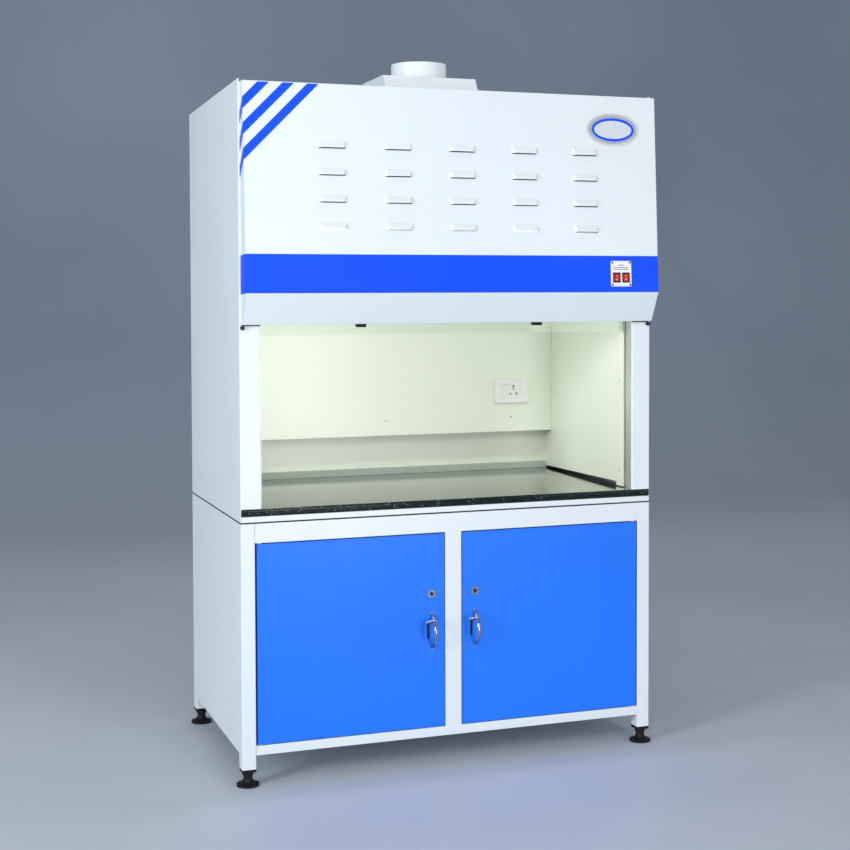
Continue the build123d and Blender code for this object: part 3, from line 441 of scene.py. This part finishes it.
def face_plane(origin, out):
    """A local frame on a face: across, up and out."""
    out = out.normalized()
    across = Vector((0, 0, 1)).cross(out).normalized()
    axes = Matrix((across, out.cross(across), out)).transposed().to_4x4()
    return Matrix.Translation(origin) @ axes


def join_meshes(parts):
    verts, faces = [], []
    for more_verts, more_faces in parts:
        start = len(verts)
        verts += more_verts
        faces += [tuple(start + i for i in face) for face in more_faces]
    return verts, faces


def strip_mesh(plane, points, height):
    """A thin raised outline from points across and up, on a local frame."""
    count = len(points)
    verts = [plane @ Vector((x, y, 0)) for x, y in points]
    verts += [plane @ Vector((x, y, height)) for x, y in points]
    faces = [tuple(range(count, 2 * count))]
    faces += [(i, (i + 1) % count, count + (i + 1) % count, count + i) for i in range(count)]
    return verts, faces


def ring_mesh(plane, outer, inner, low, high):
    """A flat raised band between two outlines of the same count."""
    count = len(outer)
    verts = []
    for points, height in ((outer, low), (outer, high), (inner, high), (inner, low)):
        verts += [plane @ Vector((x, y, height)) for x, y in points]
    faces = []
    for i in range(count):
        j = (i + 1) % count
        for ring in range(3):
            a = ring * count
            faces.append((a + i, a + j, a + count + j, a + count + i))
    return verts, faces


def bar_points(y, wide, high):
    """A rectangle whose middle is at a height."""
    return [(-wide / 2, y - high / 2), (wide / 2, y - high / 2),
            (wide / 2, y + high / 2), (-wide / 2, y + high / 2)]


def oval_points(half_wide, half_high, count=96):
    turns = [2 * math.pi * i / count for i in range(count)]
    return [(half_wide * math.cos(turn), half_high * math.sin(turn)) for turn in turns]


def moved(points, x, y, turn=0):
    """Points turned about their middle, then moved across and up."""
    c, s = math.cos(turn), math.sin(turn)
    return [(x + px * c - py * s, y + px * s + py * c) for px, py in points]


def face_of(name):
    """The middle of a node's front, and its outward direction."""
    mesh = nodes[name].data
    flat = max((f for f in mesh.polygons if f.normal.y < -0.9), key=lambda f: f.area)
    low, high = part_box(name)
    point = mesh.vertices[flat.vertices[0]].co
    middle = Vector(((low.x + high.x) / 2, 0, (low.z + high.z) / 2))
    middle.y = point.y - (flat.normal.x * (middle.x - point.x)
                          + flat.normal.z * (middle.z - point.z)) / flat.normal.y
    return middle, flat.normal.copy()


# Cross-slot heads in place of the plain discs of the screws

DOME_TURNS, DOME_RINGS = 40, 12
DOME_FALL = 0.75
HEAD_HEIGHT_SHARE = 0.98
SLOT_ARM, SLOT_HALF_WIDE, SLOT_DEEP, SLOT_WALL = 0.62, 0.17, 0.6, 0.45
LINER_SCREW_REACH = 15 * MM


def dome(plane, radius, height, relief):
    """A round head as a polar grid: relief(x, y) cuts into its domed top."""
    circle = oval_points(1, 1, DOME_TURNS)
    verts = [plane @ Vector((0, 0, height - relief(0, 0)))]
    for ring in range(1, DOME_RINGS + 1):
        out = ring / DOME_RINGS
        rise = height * (1 - DOME_FALL * out ** 3)
        for x, y in [(x * radius * out, y * radius * out) for x, y in circle]:
            verts.append(plane @ Vector((x, y, rise - relief(x, y))))
    verts += [plane @ Vector((x * radius, y * radius, 0)) for x, y in circle]
    faces = []
    for step in range(DOME_TURNS):
        after = (step + 1) % DOME_TURNS
        faces.append((0, 1 + step, 1 + after))
        for ring in range(DOME_RINGS):
            a = 1 + ring * DOME_TURNS
            b = a + DOME_TURNS
            faces.append((a + step, b + step, b + after, a + after))
    return verts, faces


def cross_slot(radius, height):
    """A cross-shaped recess with sloping walls."""
    arm, wide, deep = SLOT_ARM * radius, SLOT_HALF_WIDE * radius, SLOT_DEEP * height

    def relief(x, y):
        x, y = abs(x), abs(y)
        inside = max(min(wide - x, arm - y), min(wide - y, arm - x))
        return deep * min(1, max(0, inside / (SLOT_WALL * wide)))
    return relief


def screw_out(at):
    """The way a screw's head faces: inward from a side liner, forward anywhere else."""
    if abs(at.x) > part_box("chamber_liners")[1].x - LINER_SCREW_REACH:
        return Vector((-math.copysign(1, at.x), 0, 0))
    return FORWARD


def make_screws(name, look):
    mesh, found = islands(name)
    heads = []
    for faces in found:
        flat = max(faces, key=lambda f: f.area)
        points = [mesh.vertices[i].co for i in {i for f in faces for i in f.vertices}]
        middle = sum(points, Vector()) / len(points)
        out = flat.normal if flat.normal.dot(screw_out(middle)) > 0 else -flat.normal
        reach = [(point - middle).dot(out) for point in points]
        radius = max((point - middle - out * r).length for point, r in zip(points, reach))
        height = max(reach) - min(reach)
        heads.append(dome(face_plane(middle + out * min(reach), out), radius,
                          height * HEAD_HEIGHT_SHARE, cross_slot(radius, height)))
    piece = new_piece(name + "_heads", join_meshes(heads), look, CABINET)
    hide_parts(name)


# Oval plate: a grey rim and a plain blue ring round a bare pale centre, as half sizes

OVAL_GROUND = (73.5 * MM, 39.0 * MM)
OVAL_RING_OUTER = (65.5 * MM, 32.5 * MM)
OVAL_RING_INNER = (58.2 * MM, 25.8 * MM)
OVAL_CENTRE = (57.5 * MM, 25.0 * MM)
OVAL_GROUND_RISE, OVAL_RING_LOW, OVAL_CENTRE_RISE, OVAL_RING_RISE = (
    0.3 * MM, 0.2 * MM, 0.5 * MM, 0.6 * MM)


def make_oval_inlay():
    plane = face_plane(*face_of("oval_plate"))
    pale = plastic("pale_enamel", SILVER, rough=0.3, grain=0.02, darker=0.98)
    rim = plastic("grey_enamel", GREY, rough=0.3, grain=0.02, darker=0.96)
    ground = strip_mesh(plane, oval_points(*OVAL_GROUND), OVAL_GROUND_RISE)
    new_piece("oval_ground", ground, rim, CABINET)
    ring = ring_mesh(plane, oval_points(*OVAL_RING_OUTER), oval_points(*OVAL_RING_INNER),
                     OVAL_RING_LOW, OVAL_RING_RISE)
    new_piece("oval_ring", ring, looks["blue_film"], CABINET)
    centre = strip_mesh(plane, oval_points(*OVAL_CENTRE), OVAL_CENTRE_RISE)
    new_piece("oval_centre", centre, pale, CABINET)


# Print on the switch plate and the rockers

PRINT_RISE = 0.1 * MM
INK_LINE_HEIGHT = 2.2 * MM
SHORT_LINE, LONG_LINE = 16 * MM, 46 * MM
INK_LINES = ((12.0 * MM, SHORT_LINE), (18.5 * MM, LONG_LINE), (23.5 * MM, LONG_LINE))
MARK_RADIUS, MARK_HOLE = 2.1 * MM, 1.4 * MM
MARK_BAR_WIDE, MARK_BAR_HIGH = 0.9 * MM, 4.4 * MM
MARK_TURNS = 32
ROCKER_FACE_AREA = 1e-5


def print_switch_plate():
    """Three plain lines of ink over the switches, each at its drop from the plate's top."""
    plane = face_plane(*face_of("switch_plate"))
    low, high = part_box("switch_plate")
    top = (high.z - low.z) / 2
    lines = [strip_mesh(plane, bar_points(top - drop, wide, INK_LINE_HEIGHT), PRINT_RISE)
             for drop, wide in INK_LINES]
    ink = plastic("grey_ink", INK, rough=0.5, grain=0.02)
    new_piece("plate_ink", join_meshes(lines), ink, CABINET)


def rocker_faces(name):
    """The lower and the upper half of a rocker's front, as a middle and a normal each."""
    groups = {}
    for face in nodes[name].data.polygons:
        if face.normal.y < -0.8 and face.area > ROCKER_FACE_AREA:
            groups.setdefault(round(face.normal.z, 2), []).append(face)
    halves = []
    for faces in groups.values():
        area = sum(f.area for f in faces)
        middle = sum((f.center * f.area for f in faces), Vector()) / area
        halves.append((middle, faces[0].normal.copy()))
    return sorted(halves, key=lambda half: half[0].z)


def mark_rockers():
    """A bar for on and a ring for off, printed on each red rocker."""
    circle = oval_points(MARK_RADIUS, MARK_RADIUS, MARK_TURNS)
    hole = oval_points(MARK_HOLE, MARK_HOLE, MARK_TURNS)
    bar = bar_points(0, MARK_BAR_WIDE, MARK_BAR_HIGH)
    for name in ("switch_light", "switch_fan"):
        halves = rocker_faces(name)
        off, on = face_plane(*halves[0]), face_plane(*halves[-1])
        mark = join_meshes([ring_mesh(off, circle, hole, -PRINT_RISE, PRINT_RISE),
                            strip_mesh(on, bar, PRINT_RISE)])
        new_piece(name + "_marks", mark, looks["white_plastic"], name + "_body")


# Painted shade: black discs in the socket's holes, and black strips in the keyways of the locks

# Painted shade: black pieces at the bottoms of the holes and slots, where there is only shade
HOLE_SHADE_FROM_WALL, HOLE_SHADE_RISE = 2.0 * MM, 0.9 * MM
HOLES_ACROSS = 8.5 * MM
ROUND_HOLES = ((13.5 * MM, 3.4 * MM), (4.5 * MM, 2.4 * MM))
OVAL_HOLE = (4.2 * MM, 2.0 * MM)
OVAL_HOLE_APART, OVAL_HOLE_DROP, OVAL_HOLE_LEAN = 10.5 * MM, 10.0 * MM, 40
KEYWAY_WIDE, KEYWAY_HIGH = 9.5 * MM, 1.8 * MM
KEYWAY_DEPTH, KEYWAY_RISE = 3.0 * MM, 0.8 * MM


def shade_socket_holes():
    """Painted shade at the bottom of the holes: two round black discs over each other, as height and
    radius, and two leaning black ovals.
    """
    low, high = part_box("socket_outlet")
    middle = Vector(((low.x + high.x) / 2, high.y - HOLE_SHADE_FROM_WALL, (low.z + high.z) / 2))
    plane = face_plane(middle, FORWARD)
    discs = [moved(oval_points(radius, radius, 32), HOLES_ACROSS, up) for up, radius in ROUND_HOLES]
    for way in (-1, 1):
        discs.append(moved(oval_points(*OVAL_HOLE, 40), HOLES_ACROSS + OVAL_HOLE_APART * way,
                           -OVAL_HOLE_DROP, math.radians(90 + OVAL_HOLE_LEAN * way)))
    hole_shade = join_meshes([strip_mesh(plane, points, HOLE_SHADE_RISE) for points in discs])
    new_piece("socket_hole_shade", hole_shade, looks["black_plastic"], CABINET)


def shade_keyways():
    """Painted shade: a black strip in the bottom of each lock plug's slot."""
    for side in ("left", "right"):
        plug_low, plug_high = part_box("lock_cam_" + side)
        barrel_low, barrel_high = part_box("lock_barrel_" + side)
        middle = Vector(((plug_low.x + plug_high.x) / 2, plug_low.y + KEYWAY_DEPTH,
                         (barrel_low.z + barrel_high.z) / 2))
        # A black strip as painted shade in the keyway
        slot_shade = strip_mesh(face_plane(middle, FORWARD), bar_points(0, KEYWAY_WIDE, KEYWAY_HIGH),
                            KEYWAY_RISE)
        new_piece("keyway_shade_" + side, slot_shade, looks["black_plastic"], "lock_" + side + "_body")


# Studio: a pale floor that runs up into a backdrop, and soft lights

STAGE_FRONT, STAGE_BEND, BEND_RADIUS, STAGE_TOP, STAGE_HALF = -9.0, 4.0, 2.5, 9.0, 12.0
BEND_STEPS = 12
FLOOR_ENDS, WALL_STARTS = 3.0, 6.0
COOL, WARM = (0.95, 0.98, 1.0), (1.0, 1.0, 0.92)
SKY_COLOUR, SKY_STRENGTH = (0.80, 0.84, 0.90, 1), 0.42
LENS_GAP = 4 * MM
CHAMBER_LIGHT_SIZE = (0.2, 0.08)


def make_stage_look():
    material, tree, shader = new_material("studio_sweep")
    floor = two_tones(tree, noise(tree, scale=0.7, detail=3), linear(186, 194, 204),
                      linear(196, 203, 212))
    wall = two_tones(tree, noise(tree, scale=0.5, detail=3), linear(146, 160, 178),
                     linear(160, 173, 190))
    back = spread(tree, along(tree, "Y"), 0, 1, FLOOR_ENDS, WALL_STARTS)
    tree.links.new(blend(tree, back, floor, wall), shader.inputs["Base Color"])
    gloss = spread(tree, noise(tree, scale=6, detail=3), 0.38, 0.52)
    tree.links.new(gloss, shader.inputs["Roughness"])
    bump(tree, shader, noise(tree, scale=60, detail=3), 0.05, 1 * MM)
    return material


def make_stage():
    profile = [(STAGE_FRONT, 0.0), (STAGE_BEND, 0.0)]
    for step in range(1, BEND_STEPS + 1):
        angle = math.radians(90 * step / BEND_STEPS)
        profile.append((STAGE_BEND + BEND_RADIUS * math.sin(angle),
                        BEND_RADIUS - BEND_RADIUS * math.cos(angle)))
    profile.append((STAGE_BEND + BEND_RADIUS, STAGE_TOP))
    verts = [(x, y, z) for y, z in profile for x in (-STAGE_HALF, STAGE_HALF)]
    faces = [(a, a + 1, a + 3, a + 2) for a in range(0, len(verts) - 2, 2)]
    mesh = bpy.data.meshes.new("studio_sweep")
    mesh.from_pydata(verts, [], faces)
    mesh.materials.append(make_stage_look())
    for face in mesh.polygons:
        face.use_smooth = True
    sweep = bpy.data.objects.new("studio_sweep", mesh)
    bpy.context.scene.collection.objects.link(sweep)


def soft_light(name, at, target, size, power, colour=(1, 1, 1)):
    light = bpy.data.lights.new(name, "AREA")
    light.shape = "RECTANGLE"
    light.size, light.size_y = size
    light.energy = power
    light.color = colour
    lamp = bpy.data.objects.new(name, light)
    bpy.context.scene.collection.objects.link(lamp)
    lamp.location = at
    lamp.rotation_euler = (Vector(target) - Vector(at)).to_track_quat("-Z", "Y").to_euler()


def light_studio():
    """Front lights clear of what the glass and the laminate mirror, with a side and a top light."""
    soft_light("key_light", at=(-1.7, -4.6, 3.3), target=(0, 0, 1.1), size=(1.2, 1.1), power=33)
    soft_light("high_strip", at=(0.66, -4.7, 2.45), target=(-0.2, 0, 1.5), size=(0.5, 1.7), power=15)
    soft_light("low_strip", at=(0.86, -4.7, 0.64), target=(-0.2, 0, 0.9), size=(0.8, 0.6), power=34)
    soft_light("right_light", at=(2.9, -4.6, 1.6), target=(0.4, 0, 1.0), size=(1.4, 2.4), power=18)
    soft_light("low_light", at=(-2.2, -4.6, 0.8), target=(0, 0, 0.7), size=(1.6, 1.2), power=9)
    soft_light("left_light", at=(-4.4, -2.3, 1.8), target=(-0.3, 0, 1.0), size=(1.1, 1.8),
               power=120, colour=COOL)
    soft_light("top_light", at=(0, 0, 4.6), target=(0, 0, 1.0), size=(3.0, 3.0), power=34)


def light_chamber():
    """The lamp's own light, from just under both ends of its lens and stronger at the left."""
    low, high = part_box("lamp_lens")
    along_depth = (low.y + high.y) / 2
    for name, across, power in (("chamber_left", low.x, 1.6), ("chamber_right", high.x, 0.65)):
        soft_light(name, (across, along_depth, low.z - LENS_GAP), (across, along_depth, 0),
                   CHAMBER_LIGHT_SIZE, power, WARM)


def make_sky():
    world = bpy.data.worlds.new("studio_world")
    bpy.context.scene.world = world
    world.use_nodes = True
    sky = world.node_tree.nodes["Background"]
    sky.inputs["Color"].default_value = SKY_COLOUR
    sky.inputs["Strength"].default_value = SKY_STRENGTH


make_camera()
finish_nodes()
make_screws("plate_screws", looks["black_plastic"])
make_screws("screws", looks["steel"])
make_oval_inlay()
print_switch_plate()
mark_rockers()
shade_socket_holes()
shade_keyways()
make_stage()
light_studio()
light_chamber()
make_sky()
bpy.context.scene.view_settings.view_transform = "Standard"
